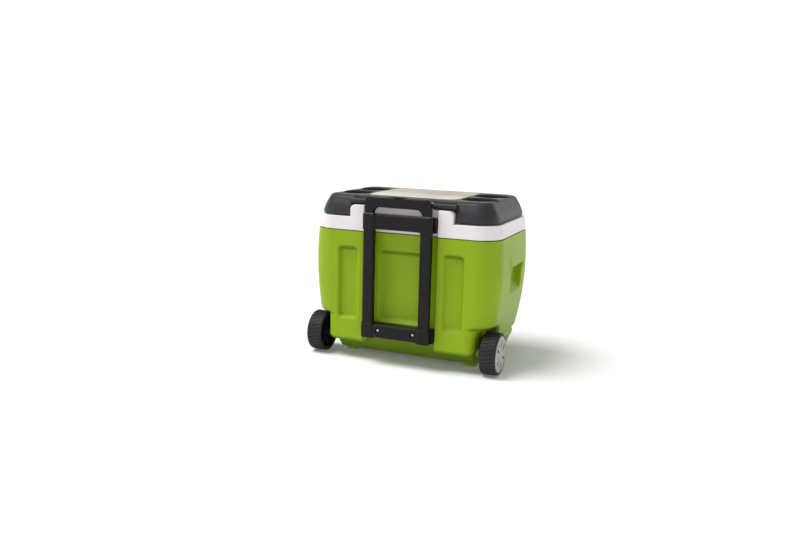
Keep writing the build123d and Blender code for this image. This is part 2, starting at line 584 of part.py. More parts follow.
def build_nodes():
    cavity = cavity_form()
    nodes = {
        "outer_shell": make_outer_shell(cavity),
        "collar": make_collar(cavity),
        "inner_liner": make_inner_liner(),
        "body_foam": make_body_foam(cavity),
        "hinge_rod": cylinder_x((-ROD_HALF_LENGTH, ROD_HALF_LENGTH), HINGE_Y, HINGE_Z, ROD_R),
        "lid_shell": make_lid_shell(),
        "lid_liner": make_lid_liner(),
        "lid_foam": make_lid_foam(),
        "lid_label": make_lid_label(),
        "axle": make_axle(),
        "axle_washers": make_axle_washers(),
        "axle_caps": make_axle_caps(),
        "upper_bracket": make_upper_bracket(),
        "lower_bracket": make_lower_bracket(),
        "bracket_screws": make_bracket_screws(),
        "grip": make_grip(),
        "release_button": make_release_button(),
        "release_yoke": make_release_yoke(),
        "push_rods": make_push_rods(),
        "release_springs": make_release_springs(),
    }
    paired = {
        "wheel_tyre": make_tyre(),
        "wheel_core": make_wheel_core(),
        "hub_disc": make_hub_disc(),
        "rail": make_rail(),
        "middle_tube": make_middle_tube(),
        "middle_glide": make_glide(smaller(MIDDLE_SIZE, TUBE_WALL), MIDDLE_BOTTOM - 3, MIDDLE_CORNER - TUBE_WALL),
        "inner_tube": make_inner_tube(),
        "inner_glide": make_glide(CORE_SIZE, INNER_BOTTOM, CORE_CORNER),
    }
    for name, solid in paired.items():
        nodes[f"{name}_left"] = solid
        nodes[f"{name}_right"] = mirror(solid, about=Plane.YZ)
    return nodes


os.makedirs("parts", exist_ok=True)
for name, solid in build_nodes().items():
    export_step(Pos(0, -CENTRE_Y, 0) * solid, f"parts/{name}.step")
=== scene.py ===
import bpy
import json
import numpy as np
from math import cos, hypot, pi, radians, sin, sqrt, tan
from mathutils import Matrix, Vector


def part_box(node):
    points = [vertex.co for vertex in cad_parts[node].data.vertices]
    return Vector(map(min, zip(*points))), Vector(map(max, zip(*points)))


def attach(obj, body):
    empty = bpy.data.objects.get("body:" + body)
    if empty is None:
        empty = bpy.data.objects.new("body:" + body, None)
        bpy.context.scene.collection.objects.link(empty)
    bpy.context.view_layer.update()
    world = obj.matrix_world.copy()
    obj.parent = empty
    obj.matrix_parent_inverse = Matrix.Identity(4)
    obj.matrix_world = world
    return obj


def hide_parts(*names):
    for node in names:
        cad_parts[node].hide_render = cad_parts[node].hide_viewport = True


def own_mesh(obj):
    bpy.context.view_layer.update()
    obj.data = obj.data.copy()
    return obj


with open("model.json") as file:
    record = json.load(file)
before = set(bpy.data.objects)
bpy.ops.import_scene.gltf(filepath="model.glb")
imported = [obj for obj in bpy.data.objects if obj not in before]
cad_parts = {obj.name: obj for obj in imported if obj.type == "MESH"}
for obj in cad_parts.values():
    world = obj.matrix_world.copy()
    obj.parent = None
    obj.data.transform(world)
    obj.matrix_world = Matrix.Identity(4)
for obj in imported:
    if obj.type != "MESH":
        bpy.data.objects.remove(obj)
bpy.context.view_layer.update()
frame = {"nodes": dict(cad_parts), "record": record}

# The cooler's sizes are in millimetres, in the frame, and turned to metres when a mesh is made.
MM = 0.001


def box_mm(node):
    """A node's lowest and highest corners."""
    return [np.array(corner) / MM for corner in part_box(node)]


shell_low, shell_high = box_mm("outer_shell")
collar_low = box_mm("collar")[0]
lid_low, lid_high = box_mm("lid_shell")
liner_low, liner_high = box_mm("lid_liner")
label_low = box_mm("lid_label")[0]
rod_low, rod_high = box_mm("hinge_rod")
tyre_low, tyre_high = box_mm("wheel_tyre_left")
grip_low, grip_high = box_mm("grip")
button_low, button_high = box_mm("release_button")
yoke_high = box_mm("release_yoke")[1]
spring_low, spring_high = box_mm("release_springs")

# Body
FRONT, BACK = shell_low[1], shell_high[1]
BODY_Y = (BACK - FRONT) / 2                     # half of the depth from front to back
MID_Y = (BACK + FRONT) / 2
BULGE_X, BULGE_Z, BULGE_R = shell_high[0], 255, 760
CORNER_R = 60
SEAM_Z, COLLAR_BOTTOM = shell_high[2], collar_low[2]
BARREL_BOTTOM, PLINTH_TOP, BASE_Z = 68, 62, 10
WALL = 3


# ------------------------------------------------------------------ fields

# A field is negative inside a form and grows with the distance from it. Arguments are arrays.

def both(a, b, r=0.0):
    """Where two forms overlap, with the edge between them rounded by r."""
    if r == 0:
        return np.maximum(a, b)
    return np.minimum(-r, np.maximum(a, b)) + np.hypot(np.maximum(a + r, 0), np.maximum(b + r, 0))


def either(a, b, r=0.0):
    """Two forms together, with the corner between them filled by r."""
    return -both(-a, -b, r)


def without(a, b, r=0.0):
    """The first form with the second cut out of it."""
    return both(a, -b, r)


def slab(u, low, high):
    """The layer between two parallel planes."""
    return np.maximum(low - u, u - high)


def ease(t):
    """Runs smoothly from 0 to 1 as t does."""
    return t ** 2 * (3 - 2 * t)


def oblong(u, v, half_u, half_v, r):
    """A rectangle about the middle with corners rounded by r."""
    qu, qv = np.abs(u) - half_u + r, np.abs(v) - half_v + r
    return np.hypot(np.maximum(qu, 0), np.maximum(qv, 0)) + np.minimum(np.maximum(qu, qv), 0) - r


# ------------------------------------------------------------------ meshes from fields

def lines(*runs):
    """Grid lines. Each run is (where it starts, its step), and the last one only says where they end."""
    found = []
    for (a, step), (b, _) in zip(runs, runs[1:]):
        n = max(1, round((b - a) / step))
        found += [a + (b - a) * i / n for i in range(n)]
    return np.array(found + [runs[-1][0]], float)


def mirrored(*runs):
    """Grid lines for both sides of the middle, from the ones on the right."""
    right = lines(*runs)
    return np.concatenate([-right[::-1], right])


def slope(field, p, h=0.02):
    """The field's gradient at points, by central differences."""
    columns = []
    for axis in range(3):
        step = np.zeros(3)
        step[axis] = h
        columns.append((field(*(p + step).T) - field(*(p - step).T)) / (2 * h))
    return np.stack(columns, 1)


PULLS, LONGEST_PULL = 5, 2.5


def net(field, xs, ys, zs, open_low=False, open_high=False):
    """Quads on a field's surface: one vertex in each grid cell that it crosses, moved onto it exactly.
    The surface ends at the lowest or highest grid line in z where it is left open."""
    axes = (xs, ys, zs)
    values = field(*np.meshgrid(xs, ys, zs, indexing="ij"))
    inside = values < 0
    cells = tuple(len(a) - 1 for a in axes)
    total, count = np.zeros((np.prod(cells), 3)), np.zeros(np.prod(cells))
    quads = []
    for axis in range(3):
        low = tuple(slice(None, -1) if a == axis else slice(None) for a in range(3))
        high = tuple(slice(1, None) if a == axis else slice(None) for a in range(3))
        at = np.array(np.nonzero(inside[low] != inside[high])).T
        a, b = values[low][tuple(at.T)], values[high][tuple(at.T)]
        points = np.stack([axes[n][at[:, n]] for n in range(3)], 1)
        points[:, axis] += a / (a - b) * (axes[axis][at[:, axis] + 1] - axes[axis][at[:, axis]])
        u, v = (axis + 1) % 3, (axis + 2) % 3
        around = []
        for du, dv in ((-1, -1), (0, -1), (0, 0), (-1, 0)):
            cell = at.copy()
            cell[:, u] += du
            cell[:, v] += dv
            held = np.all((cell >= 0) & (cell < cells), axis=1)
            index = np.where(held, np.ravel_multi_index(np.where(held[:, None], cell, 0).T, cells), -1)
            np.add.at(total, index[held], points[held])
            np.add.at(count, index[held], 1)
            around.append(index)
        around = np.stack(around, 1)
        kept = np.all(around >= 0, axis=1)
        quads.append(np.where((a < 0)[kept, None], around[kept], around[kept][:, ::-1]))
    quads = np.concatenate(quads)
    used, flat = np.unique(quads, return_inverse=True)
    quads = flat.reshape(-1, 4)
    points = total[used] / count[used, None]
    layer = used % cells[2]
    border = ((layer == 0) & open_low) | ((layer == cells[2] - 1) & open_high)
    points[border, 2] = np.where(layer[border] == 0, zs[0], zs[-1])
    for _ in range(PULLS):
        g = slope(field, points)
        g[border, 2] = 0
        length = np.maximum(np.sum(g * g, 1), 0.05)
        step = -(field(*points.T) / length)[:, None] * g
        reach = np.linalg.norm(step, axis=1, keepdims=True)
        points += step * np.minimum(1, LONGEST_PULL / np.maximum(reach, 1e-6))
    normals = slope(field, points, 0.15)
    normals /= np.maximum(np.linalg.norm(normals, axis=1, keepdims=True), 1e-9)
    return points, normals, quads


def under_value(normals):
    """1 where a surface faces down, 0 where it is upright or faces up. The materials use it to paint shade on
    undersides.
    """
    return np.clip(-normals[:, 2] * 1.6, 0, 1)


def edge_value(field, points, h=1.2):
    """How sharply the surface turns: above 0 on outer edges, below 0 in inner corners. The materials use it
    for wear on outer edges and painted shade in inner corners.
    """
    around = sum(field(*(points + s * np.eye(3)[n] * h).T) for n in range(3) for s in (-1, 1))
    return np.clip((around - 6 * field(*points.T)) / h, -1, 1)


def thicken(points, normals, quads, wall, rim):
    """Gives an open surface a wall, with rounded rims along its open edges."""
    edges = np.concatenate([quads[:, [n, (n + 1) % 4]] for n in range(4)])
    one_way = {tuple(e) for e in edges.tolist()}
    border = np.array([e for e in edges.tolist() if (e[1], e[0]) not in one_way])
    n, ring = len(points), np.unique(border)
    inner = points - wall * normals
    inner[ring, 2] = points[ring, 2]
    flat = normals[ring] * (1, 1, 0)
    flat /= np.linalg.norm(flat, axis=1, keepdims=True)
    inner[ring, :2] = points[ring, :2] - wall * flat[:, :2]
    side = np.sign(points[ring, 2] - np.mean(points[:, 2]))[:, None] * np.array((0, 0, 1.0))
    points[ring] -= side * rim
    inner[ring] -= side * rim
    tops = [points[ring] + side * rim - flat * rim, points[ring] + side * rim - flat * (wall - rim)]
    where = {v: i for i, v in enumerate(ring.tolist())}
    order = np.array([[where[a], where[b]] for a, b in border.tolist()])
    chain = [ring, 2 * n + np.arange(len(ring)), 2 * n + len(ring) + np.arange(len(ring)), n + ring]
    sides = [np.stack([low[order[:, 1]], low[order[:, 0]], high[order[:, 0]], high[order[:, 1]]], 1)
             for low, high in zip(chain, chain[1:])]
    points = np.concatenate([points, inner] + tops)
    normals = np.concatenate([normals, -normals, side, side])
    return points, normals, np.concatenate([quads, quads[:, ::-1] + n] + sides)


def make_piece(name, points, quads, normals=None, **values):
    """An object from points in millimetres. Each of the values is a number for every point."""
    mesh = bpy.data.meshes.new(name)
    mesh.from_pydata((np.asarray(points) * MM).tolist(), [], np.asarray(quads).tolist())
    mesh.polygons.foreach_set("use_smooth", [True] * len(mesh.polygons))
    for key, value in values.items():
        mesh.attributes.new(key, "FLOAT", "POINT").data.foreach_set("value", value.astype(np.float32))
    if normals is not None:
        mesh.normals_split_custom_set_from_vertices(normals.tolist())
    piece = bpy.data.objects.new(name, mesh)
    bpy.context.scene.collection.objects.link(piece)
    return piece


def moulding(name, field, grid, wall=0.0, rim=0.8, **ends):
    """A moulded piece from a field. With a wall it is hollow and open at one end, without it is solid."""
    points, normals, quads = net(field, *grid, **ends)
    edge = edge_value(field, points)
    if wall:
        count = len(points)
        points, normals, quads = thicken(points, normals, quads, wall, rim)
        edge = np.concatenate([edge, np.zeros(len(points) - count)])
    return make_piece(name, points, quads, normals, edge=edge, under=under_value(normals))


# ------------------------------------------------------------------ body

WELL_X, WELL_Y, WELL_Z, WELL_R, LEDGE_R = 201, 57, 116, 45, 8
CHANNEL_X, CHANNEL_DEPTH = 98, 11
PILLAR_X, PILLAR_Y = 165, 127
LOBE_Z, LOBE_R, LOBE_EDGE = 46, 25, 12
LOBE_FRONT, LOBE_HALF_Y, LOBE_OVERLAP = 108, 60, 20
JOIN_Z = 130                                     # the wedge and the lobes end here, inside the barrel
SLOPE_Y, SLOPE_RUN, SLOPE_RISE = 97, 36, 40
PLINTH_X, PLINTH_Y, PLINTH_R, PLINTH_DRAFT = 228, 157, 52, radians(22)
NECK_INSET, NECK_LOW, NECK_HIGH = 5, 50, 90
AXLE_Y, AXLE_Z = (tyre_low[1] + tyre_high[1]) / 2, (tyre_low[2] + tyre_high[2]) / 2
KEEL_X = 189                                     # half-width of the wedge below the lobes
FOOT_X, FOOT_YS, FOOT_HALF, FOOT_R = 168, (66, -112), 17, 9
PANEL_DEPTH, PANEL_DRAFT, PANEL_R = 11, radians(38), 14
# Each panel: middle in x and z, half-width, half-height, depth of the face that it is cut into, and its side
PANELS = [(142.5, 201, 28.5, 95, 0, 1), (142.5, 201, 28.5, 95, 0, -1),
          (0, 200, 60, 92, CHANNEL_DEPTH, 1), (0, 201, 92, 95, 0, -1)]
POCKET_Y, POCKET_HALF, POCKET_BACK = -20, 53, BULGE_X - 25
POCKET_LIP, POCKET_SAG = 256, 1400
POCKET_ROOF, ROOF_BOTTOM, ROOF_DEPTH = 272, 245, 12.5
SILL_X, SILL_Z = 250, 186                        # a point of the pocket floor's gentle stretch, at 45 degrees
KNEE_X, KNEE_Z, KNEE_SLOPE = 235.2, 202, 2.5     # a point of its steep stretch
HOOD_OUT, HOOD_HALF = 3.2, POCKET_HALF + 6
HOOD_TOP, HOOD_FADE, HOOD_BOTTOM, HOOD_RISE = 308, 50, 236, 16
BOSS_R, BOSS_OUT = 15, 5


def barrel(x, y, z, out=0.0):
    """The bulging block that the body and the collar are parts of. Its ends may stand out further."""
    end = BULGE_X - BULGE_R + np.sqrt(BULGE_R ** 2 - (z - BULGE_Z) ** 2)
    return oblong(x, y, end + out, BODY_Y, CORNER_R)


def hood(y, z):
    """How far the wall over an end pocket stands out."""
    across = np.clip(1.25 - np.abs(y - POCKET_Y) / HOOD_HALF, 0, 0.25) * 4
    down = np.clip((HOOD_TOP - z) / HOOD_FADE, 0, 1) * np.clip((z - HOOD_BOTTOM) / HOOD_RISE, 0, 1)
    return HOOD_OUT * ease(across) * ease(down)


def wheel_wells(x, y, z):
    """The space that each wheel turns in, with the gap between the lobe and the wedge."""
    arch = both(WELL_Y - y, z - WELL_Z, WELL_R)
    well = both(arch, WELL_X - np.abs(x), 3)
    pillar = np.maximum(np.maximum(PILLAR_X - np.abs(x), PILLAR_Y - y), z - WELL_Z)
    return np.minimum(well, pillar)


def plinth_form(x, y, z):
    """The drafted plinth in front of the wheels, with a slimmer neck up to the body."""
    inset = (PLINTH_TOP - z) * tan(PLINTH_DRAFT)
    plinth = oblong(x, y, PLINTH_X - inset, PLINTH_Y - inset, PLINTH_R - inset * 0.8) * cos(PLINTH_DRAFT)
    plinth = both(both(plinth, z - PLINTH_TOP, 7), BASE_Z - z, 5)
    neck = oblong(x, y, PLINTH_X - NECK_INSET, PLINTH_Y - NECK_INSET / 2, PLINTH_R)
    return both(either(plinth, np.maximum(neck, slab(z, NECK_LOW, NECK_HIGH)), 5), y - WELL_Y, 3)


def wedge_form(x, y, z):
    """The block between the wheel wells, with its sloping underside."""
    side = KEEL_X + (WELL_X - KEEL_X) * ease(np.clip((z - LOBE_Z + 2) / 10, 0, 1))
    slant = ((y - SLOPE_Y) * SLOPE_RISE - (z - BASE_Z) * SLOPE_RUN) / hypot(SLOPE_RISE, SLOPE_RUN)
    wedge = both(both(slant, BASE_Z - z, 5), np.abs(x) - side, 4)
    wedge = both(wedge, np.maximum(np.maximum(z - JOIN_Z, y - BODY_Y + CHANNEL_DEPTH), -y))
    return without(wedge, np.maximum(PILLAR_X - np.abs(x), PILLAR_Y - y))


def lobe_form(x, y, z):
    """The rounded foot of the body beside the handle, inboard of each wheel."""
    middle = (CHANNEL_X + WELL_X) / 2
    half_x = WELL_X - middle + LOBE_OVERLAP
    inner = oblong(np.abs(x) - middle + LOBE_OVERLAP, y - BODY_Y + LOBE_HALF_Y, half_x, LOBE_HALF_Y, LOBE_R)
    lobe = np.maximum(inner, CHANNEL_X - 6 - np.abs(x))
    return np.maximum(both(lobe, LOBE_Z - z, LOBE_EDGE), np.maximum(z - JOIN_Z, LOBE_FRONT - y))


def feet(x, y, z):
    """The four feet under the plinth and the wedge."""
    found = np.full_like(x, 1e3)
    for foot_y in FOOT_YS:
        foot = oblong(np.abs(x) - FOOT_X, y - foot_y, FOOT_HALF, FOOT_HALF, FOOT_R)
        found = np.minimum(found, both(both(foot, -z, 3), z - BASE_Z - 4))
    return found


def panels(x, y, z):
    """The drafted recesses in the back and front faces."""
    found = np.full_like(x, 1e3)
    for middle_x, middle_z, half_x, half_z, face, side in PANELS:
        depth = BODY_Y - face - side * y
        draft = oblong(np.abs(x) - middle_x, z - middle_z, half_x, half_z, PANEL_R)
        draft = (draft + np.maximum(depth, -3) * tan(PANEL_DRAFT)) * cos(PANEL_DRAFT)
        found = np.minimum(found, both(draft, depth - PANEL_DEPTH, 3))
    return found


def pockets(x, y, z):
    """The finger slot in each end, under a lip, with a floor that slopes out to the surface."""
    x = np.abs(x)
    across = np.abs(y - POCKET_Y) - POCKET_HALF
    gentle = (SILL_Z - z + SILL_X - x) / sqrt(2)
    steep = (KNEE_Z - z + (KNEE_X - x) * KNEE_SLOPE) / hypot(1, KNEE_SLOPE)
    floor = both(both(gentle, steep, 10), POCKET_BACK - x, 12)
    lip = z - POCKET_LIP - (y - POCKET_Y) ** 2 / POCKET_SAG
    slot = both(both(floor, across, 7), lip, 2)
    depth = both(POCKET_BACK - x, x - POCKET_BACK - ROOF_DEPTH, 4)
    roof = both(depth, np.maximum(both(across, z - POCKET_ROOF, 5), ROOF_BOTTOM - z), 3)
    return either(slot, roof)


def body_form(x, y, z):
    """The whole outside of the green shell."""
    y = y - MID_Y
    form = both(barrel(x, y, z, hood(y, z)), BARREL_BOTTOM - z, 9)
    form = without(form, wheel_wells(x, y, z), LEDGE_R)
    form = either(form, either(plinth_form(x, y, z), wedge_form(x, y, z)), 4)
    form = np.maximum(either(form, lobe_form(x, y, z), 5), np.abs(y) - BODY_Y)
    form = either(form, feet(x, y, z), 2)
    boss = np.hypot(y + MID_Y - AXLE_Y, z - AXLE_Z) - BOSS_R
    form = either(form, both(boss, slab(np.abs(x), WELL_X - 2, WELL_X + BOSS_OUT), 1.5), 1.5)
    channel = both(np.abs(x) - CHANNEL_X, BODY_Y - CHANNEL_DEPTH - y, 3)
    form = without(form, channel, 4)
    form = without(form, panels(x, y, z), 2.8)
    form = without(form, pockets(x, y, z), 3)
    return form


BODY_XS = mirrored((1.5, 8), (52, 2.6), (70, 6), (94, 2), (104, 4), (112, 2.2), (126, 6), (150, 2.4),
                   (206, 3), (259, 0))
BODY_YS = MID_Y + lines((-166, 1.8), (-146, 4), (-92, 2.6), (-64, 5), (24, 2.6), (40, 4), (50, 2), (62, 4),
                        (84, 3.5), (120, 2.2), (152, 1.8), (166, 0))
BODY_ZS = lines((-1.5, 1.5), (16, 4), (42, 1.8), (72, 5), (104, 2), (124, 6), (184, 3), (200, 4), (248, 2),
                (276, 5), (280, 2.2), (300, 5), (328, 3), (SEAM_Z - 0.5, 0))


def outer_shell():
    shell = moulding("green_shell", body_form, (BODY_XS, BODY_YS, BODY_ZS), WALL, 1.3, open_high=True)
    finish_piece(shell, "cooler_body", "shell_green", "outer_shell", "body_foam")


# ------------------------------------------------------------------ collar and lid

HINGE_Y, HINGE_Z = (rod_low[1] + rod_high[1]) / 2, (rod_low[2] + rod_high[2]) / 2
BARREL_R = 8
COLLAR_TOP = 372
TOWER_X, TOWER_DEPTH, TOWER_TOP, TOWER_HALF, TOWER_R = 138, 25, 403.5, 50, 13
TUB_X, TUB_Y, TUB_R, TUB_TOP = 208, 132, 34, 374
TUB_MIDDLE, TUB_DRAFT = -8, radians(3.2)
KNUCKLES = ((46.1, 5.9), (75.15, 6.15))          # middle and half-width along x
# Each web: where it starts and ends in y, then in z
KNUCKLE_WEB = HINGE_Y - 7.5, BACK - CHANNEL_DEPTH, 400, 411
LID_X, LID_Y, LID_R = lid_high[0], -lid_low[1] + MID_Y, 56
LID_BOTTOM, LID_CREASE, LID_TOP, LID_TAPER = lid_low[2], 381, label_low[2], radians(29.5)
NOTCH_X, NOTCH_Y = 141, 131 + MID_Y
CUP_X, CUP_Y, CUP_R, CUP_DEPTH = 169, 52.7, 45.4, 22
LID_BARRELS = ((0, 39.5), (112, 30))
LID_WEB = NOTCH_Y - 6, HINGE_Y, 408, 417
LID_TUCK, TUCK_HEIGHT, CROWN_R, LID_TOP_R = 3.5, 8, 14, 7
NOTCH_FLARE, NOTCH_LEAN, LEAN_BOTTOM, LEAN_HEIGHT, NOTCH_R = 9, 7, 388, 37, 6
PLUG_BOTTOM, PLATE_BOTTOM, PLATE_TOP, PLATE_INSET = liner_low[2], 376, liner_high[2], 7
PLUG_GAP, PLUG_DRAFT = 4, 0.24


def hinge_sleeve(x, y, z, middle, half, web_front, web_back, web_low, web_high):
    """A knuckle round the hinge rod and the web that holds it."""
    reach = slab(np.abs(x), middle - half, middle + half)
    sleeve = both(np.hypot(y - HINGE_Y, z - HINGE_Z) - BARREL_R, reach, 0.8)
    web = np.maximum(np.maximum(slab(y, web_front, web_back), slab(z, web_low, web_high)), reach)
    return either(sleeve, web, 1)


def collar_form(x, y, z):
    """The white rim of the body with the tower that the lid hangs on."""
    rim = both(barrel(x, y - MID_Y, z), z - COLLAR_TOP, 1.5)
    tower = oblong(x, z - TOWER_TOP + TOWER_HALF, TOWER_X, TOWER_HALF, TOWER_R)
    tower = both(tower, slab(y, BACK - TOWER_DEPTH, BACK), 1.6)
    form = either(rim, tower, 1.5)
    channel = both(np.abs(x) - CHANNEL_X, BACK - CHANNEL_DEPTH - y, 2)
    form = without(form, channel, 1.5)
    for middle, half in KNUCKLES:
        form = either(form, hinge_sleeve(x, y, z, middle, half, *KNUCKLE_WEB), 1)
    narrowing = (TUB_TOP - z) * tan(TUB_DRAFT)
    half_x, half_y = TUB_X + WALL - narrowing, TUB_Y + WALL - narrowing / 3
    tub = oblong(x, y - MID_Y - TUB_MIDDLE, half_x, half_y, TUB_R + 2)
    return without(form, tub, 1.5)


def collar():
    xs = mirrored((1.5, 7), (39, 1.5), (53, 5), (68, 1.5), (83, 5), (122, 1.8), (140, 5), (172, 3), (256, 0))
    ys = MID_Y + lines((-166, 1.6), (-158, 4), (-92, 3), (-88, 6), (84, 3), (124, 2), (166, 0))
    zs = lines((COLLAR_BOTTOM + 0.4, 4), (364, 1.6), (376, 4), (388, 1.6), (423, 0))
    piece = moulding("white_collar", collar_form, (xs, ys, zs), WALL, 1.2, open_low=True)
    finish_piece(piece, "cooler_body", "collar_white", "collar")


def lid_form(x, y, z):
    """The lid: leaning sides, a tucked-in lower edge, a notch at the hinge, and the cup recesses."""
    inset = np.maximum(z - LID_CREASE, -20) * tan(LID_TAPER)
    tuck = LID_TUCK * np.clip((LID_BOTTOM + TUCK_HEIGHT - z) / TUCK_HEIGHT, 0, 1) ** 2
    crown = oblong(x, y - MID_Y, LID_X - inset, LID_Y - inset, LID_R - inset * 0.9) * cos(LID_TAPER)
    form = both(oblong(x, y - MID_Y, LID_X - tuck, LID_Y - tuck, LID_R), crown, CROWN_R)
    form = both(form, z - LID_TOP, LID_TOP_R)
    low = np.clip(LID_BOTTOM + NOTCH_FLARE - z, 0, NOTCH_FLARE)
    flare = NOTCH_FLARE - np.sqrt(NOTCH_FLARE ** 2 - low ** 2)
    lean = NOTCH_LEAN * np.clip((z - LEAN_BOTTOM) / LEAN_HEIGHT, 0, 1)
    notch = both(np.abs(x) - NOTCH_X - flare + lean, NOTCH_Y - y, NOTCH_R)
    form = without(form, notch, NOTCH_R)
    cup = both(np.hypot(np.abs(x) - CUP_X, np.abs(y - MID_Y) - CUP_Y) - CUP_R, LID_TOP - CUP_DEPTH - z, 5)
    form = without(form, cup, 2.5)
    for middle, half in LID_BARRELS:
        form = either(form, hinge_sleeve(x, y, z, middle, half, *LID_WEB), 1.5)
    return form


def lid():
    xs = mirrored((1.5, 7), (36, 1.5), (42, 6), (79, 1.5), (85, 5), (124, 3), (132, 1.5), (154, 3), (252, 0))
    ys = MID_Y + lines((-162, 2), (-120, 3), (-96, 3), (-6, 4), (6, 3), (96, 3), (122, 2), (162, 0))
    zs = lines((LID_BOTTOM, 1.5), (388, 2.4), (400, 1.4), (408, 1.7), (427, 0))
    piece = moulding("charcoal_lid", lid_form, (xs, ys, zs), WALL, 1.2, open_low=True)
    finish_piece(piece, "lid", "lid_charcoal", "lid_shell", "lid_foam")


def liner_form(x, y, z):
    """The lid's white underside: a plate inside the lid's lip that dips to form the plug."""
    plate = oblong(x, y - MID_Y, LID_X - PLATE_INSET, LID_Y - PLATE_INSET, LID_R - PLATE_INSET)
    notch = both(np.abs(x) - NOTCH_X - 6, NOTCH_Y - 1.5 - y, 3)
    plate = both(without(plate, notch, 3), slab(z, PLATE_BOTTOM, PLATE_TOP), 0.8)
    gap = PLUG_GAP + (PLATE_TOP - z) * PLUG_DRAFT
    plug = oblong(x, y - MID_Y - TUB_MIDDLE, TUB_X - gap, TUB_Y - gap, TUB_R - gap)
    plug = np.maximum(both(plug, PLUG_BOTTOM - z, 4), z - PLATE_TOP + 1)
    return either(plate, plug, 2)


def lid_liner():
    xs = mirrored((1.5, 7), (138, 3), (152, 5), (188, 2.4), (240, 0))
    ys = MID_Y + lines((-158, 2.4), (-112, 7), (88, 2.4), (158, 0))
    zs = lines((PLUG_BOTTOM - 1.5, 1.4), (PLATE_TOP + 1.5, 0))
    finish_piece(moulding("white_lid_liner", liner_form, (xs, ys, zs)), "lid", "liner_white", "lid_liner")


# ------------------------------------------------------------------ grip

GRIP_X, GRIP_Y, GRIP_DEPTH = grip_high[0], (grip_low[1] + grip_high[1]) / 2, grip_high[1] - grip_low[1]
GRIP_TOP, GRIP_BOTTOM, GRIP_HALF, GRIP_CORNER = grip_high[2], 388.5, 50, 13
WINDOW_X, WINDOW_TOP, WINDOW_CORNER = 64.6, 403.5, 15
SCOOP_R, SCOOP_DIP = 37, 6.6
BUTTON_GAP, BUTTON_CORNER = 0.4, 3.4
PRESS = 4.0                                      # the button's travel
ROD_INSET, ROD_BORE_R = 5, 2.6


def grip_form(x, y, z):
    """A hollow bar with two legs, a thumb scoop in its back edge and a well for the button."""
    outline = oblong(x, z - GRIP_TOP + GRIP_HALF, GRIP_X, GRIP_HALF, GRIP_CORNER)
    window = oblong(x, z - WINDOW_TOP + GRIP_HALF, WINDOW_X, GRIP_HALF, WINDOW_CORNER)
    form = both(without(outline, window), np.abs(y - GRIP_Y) - GRIP_DEPTH / 2, 5)
    form = both(form, GRIP_BOTTOM - z, 1)
    scoop = np.hypot(x, z - GRIP_TOP + SCOOP_DIP - SCOOP_R) - SCOOP_R
    form = without(form, both(scoop, GRIP_Y + 4 - y), 1.5)
    button_x, button_y = button_high[0], (button_high[1] - button_low[1]) / 2
    cavity = np.maximum(np.abs(x) - yoke_high[0] - 1.5, np.abs(y - GRIP_Y) - button_y - 0.5)
    cavity = np.maximum(cavity, slab(z, spring_low[2], yoke_high[2] + 2))
    bore = np.hypot(np.abs(x) - (yoke_high[0] - ROD_INSET), y - GRIP_Y) - ROD_BORE_R
    bore = np.maximum(bore, z - yoke_high[2])
    form = without(form, np.minimum(cavity, bore))
    well = oblong(x, y - GRIP_Y, button_x + BUTTON_GAP, button_y + BUTTON_GAP, BUTTON_CORNER)
    return without(form, np.maximum(well, yoke_high[2] - PRESS - 1 - z), 0.8)


def grip():
    xs = mirrored((0.9, 2), (18, 1.2), (24, 4), (58, 2.4), (92, 0))
    ys = GRIP_Y + lines((-11.5, 1), (11.5, 0))
    zs = lines((GRIP_BOTTOM - 1.5, 1.2), (392, 2.4), (414, 1.2), (GRIP_TOP + 1.5, 0))
    piece = moulding("black_grip", grip_form, (xs, ys, zs))
    finish_piece(piece, "handle_upper_stage", "handle_black", "grip")


# ------------------------------------------------------------------ springs

SPRING_WIRE, SPRING_TURNS, TURN_STEPS, WIRE_SIDES = 0.4, 4, 24, 8
WIRE_END = ((0, 1, 2, 3), (0, 3, 4, 7), (4, 5, 6, 7))          # four-sided faces that close the wire


def spring_coil(side, first):
    """Points and faces of one coil. Its points are numbered from first."""
    radius = (spring_high[1] - spring_low[1]) / 2 - SPRING_WIRE
    middle_x = spring_high[0] - radius - SPRING_WIRE
    bottom, rise = spring_low[2] + SPRING_WIRE, spring_high[2] - spring_low[2] - 2 * SPRING_WIRE
    steps = SPRING_TURNS * TURN_STEPS
    points, quads = [], []
    for i in range(steps + 1):
        turned, height = 2 * pi * i / TURN_STEPS, bottom + rise * i / steps
        for k in range(WIRE_SIDES):
            round_wire = 2 * pi * k / WIRE_SIDES
            r = radius + SPRING_WIRE * cos(round_wire)
            z = height + SPRING_WIRE * sin(round_wire)
            points.append((side * middle_x + r * cos(turned), GRIP_Y + r * sin(turned), z))
    for i in range(steps):
        for k in range(WIRE_SIDES):
            a, b = first + i * WIRE_SIDES + k, first + i * WIRE_SIDES + (k + 1) % WIRE_SIDES
            quads.append((b, a, a + WIRE_SIDES, b + WIRE_SIDES))
    last = first + steps * WIRE_SIDES
    for face in WIRE_END:
        quads.append(tuple(first + k for k in face))
        quads.append(tuple(last + k for k in reversed(face)))
    return points, quads


def release_springs():
    """Two coil springs under the crossbar."""
    points, quads = [], []
    for side in (1, -1):
        more_points, more_quads = spring_coil(side, len(points))
        points += more_points
        quads += more_quads
    coils = make_piece("spring_coils", points, quads)
    finish_piece(coils, "handle_upper_stage", "steel", "release_springs")
    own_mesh(coils)


# ------------------------------------------------------------------ wheels

TREAD_PITCHES, TREAD_DEPTH, TYRE_BORE = 34, 1.7, 45.5
TREAD_SHARES = (0, 0.04, 0.06, 0.10, 0.50, 0.54, 0.56, 0.60)    # where the section is cut within a pitch


